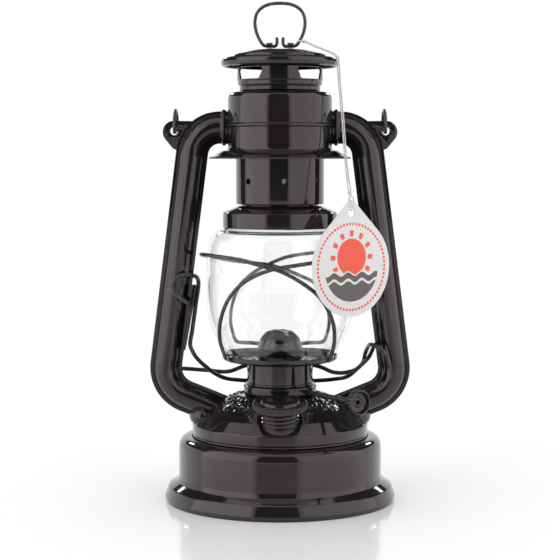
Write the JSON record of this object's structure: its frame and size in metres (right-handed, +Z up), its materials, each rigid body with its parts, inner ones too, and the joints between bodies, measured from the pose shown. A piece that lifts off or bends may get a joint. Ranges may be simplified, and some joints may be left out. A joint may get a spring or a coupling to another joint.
{
  "type": "barn lantern",
  "caption": "Small tubular barn lantern with a flared tank, hollow side tubes, a clear globe in a wire guard, a flat-wick burner and a sprung hood.",
  "frame": {"origin": "centre of the tank's underside, on the lantern's axis, where it stands", "axes": "+Z up along the lantern's axis; -Y is the front with the filler cap; +X towards the right side tube"},
  "size_m": [0.1508, 0.1559, 0.287],
  "materials": {
    "black_enamel": "gloss",
    "blackened_wire": "satin",
    "plain_steel": "satin",
    "globe_glass": "clear",
    "wick_cotton": "woven",
    "gasket_rubber": "matte",
    "tag_card": "matte card",
    "tag_string": "twisted thread"
  },
  "bodies": {
    "frame": {"base_skirt": "black_enamel", "tank_bottom": "black_enamel", "tank_top": "black_enamel", "burner_collar": "black_enamel", "filler_neck": "black_enamel", "left_tube_front": "black_enamel", "left_tube_back": "black_enamel", "right_tube_front": "black_enamel", "right_tube_back": "black_enamel", "left_tube_boot": "black_enamel", "right_tube_boot": "black_enamel", "left_ferrule": "black_enamel", "right_ferrule": "black_enamel", "left_lug": "black_enamel", "right_lug": "black_enamel", "lever_guide": "blackened_wire", "drum_lower_shell": "black_enamel", "drum_upper_shell": "black_enamel", "burner_base_cup": "black_enamel", "burner_upper_cup": "black_enamel", "flame_dome": "black_enamel", "wick_tube": "plain_steel", "chimney_spring": "plain_steel"},
    "globe_lift": {"globe_plate": "black_enamel", "globe": "globe_glass", "globe_guard_wire": "blackened_wire", "lift_crossbar": "blackened_wire", "lift_wire": "blackened_wire"},
    "chimney": {"hood_cap": "black_enamel", "vent_cage": "black_enamel", "chimney_tube": "black_enamel", "chimney_sleeve": "black_enamel", "globe_collar": "black_enamel", "ring_strap_left": "black_enamel", "ring_strap_right": "black_enamel", "spring_seat": "black_enamel", "hang_tag": "tag_card", "tag_string": "tag_string"},
    "ring": {"ring_handle": "blackened_wire"},
    "bail": {"bail_handle": "blackened_wire"},
    "cap_gasket": {"filler_gasket": "gasket_rubber"},
    "cap": {"filler_cap": "black_enamel"},
    "wick_winder": {"wick_knob": "black_enamel", "wick_shaft": "blackened_wire", "wick_sprocket_inner": "plain_steel", "wick_sprocket_outer": "plain_steel"},
    "wick": {"wick": "wick_cotton"}
  },
  "joints": [
    {"name": "globe_lift", "type": "slide", "parent": "frame", "child": "globe_lift", "axis": [0, 0, 1], "range_m": [0, 0.01], "deforming": ["chimney_spring"]},
    {"name": "chimney_lift", "type": "slide", "parent": "globe_lift", "child": "chimney", "axis": [0, 0, 1], "range_m": [0, 0.012], "stiffness_N_per_m": 120, "springref_m": -0.02, "deforming": ["chimney_spring"]},
    {"name": "ring_swing", "type": "hinge", "parent": "chimney", "child": "ring", "pos_m": [0, 0, 0.2617], "axis": [1, 0, 0], "range_deg": [-80, 80]},
    {"name": "bail_swing", "type": "hinge", "parent": "frame", "child": "bail", "pos_m": [0, 0, 0.2188], "axis": [1, 0, 0], "range_deg": [0, 180]},
    {"name": "cap_rise", "type": "slide", "parent": "frame", "child": "cap_gasket", "axis": [0, -0.1392, 0.9903], "range_m": [0, 0.0061]},
    {"name": "cap_turn", "type": "hinge", "parent": "cap_gasket", "child": "cap", "pos_m": [0, -0.0404, 0.048], "axis": [0, -0.1392, 0.9903], "range_deg": [0, 720]},
    {"name": "wick_knob_turn", "type": "hinge", "parent": "frame", "child": "wick_winder", "pos_m": [0.00404, 0.00294, 0.0636], "axis": [-0.5878, 0.809, 0], "range_deg": [-180, 90]},
    {"name": "wick_rise", "type": "slide", "parent": "frame", "child": "wick", "axis": [0, 0, 1], "range_m": [-0.0112, 0.0057]}
  ],
  "couplings": [
    {"joint": "cap_rise", "follows": "cap_turn", "m_per_rad": 0.00047746},
    {"joint": "wick_rise", "follows": "wick_knob_turn", "m_per_rad": 0.0035}
  ]
}
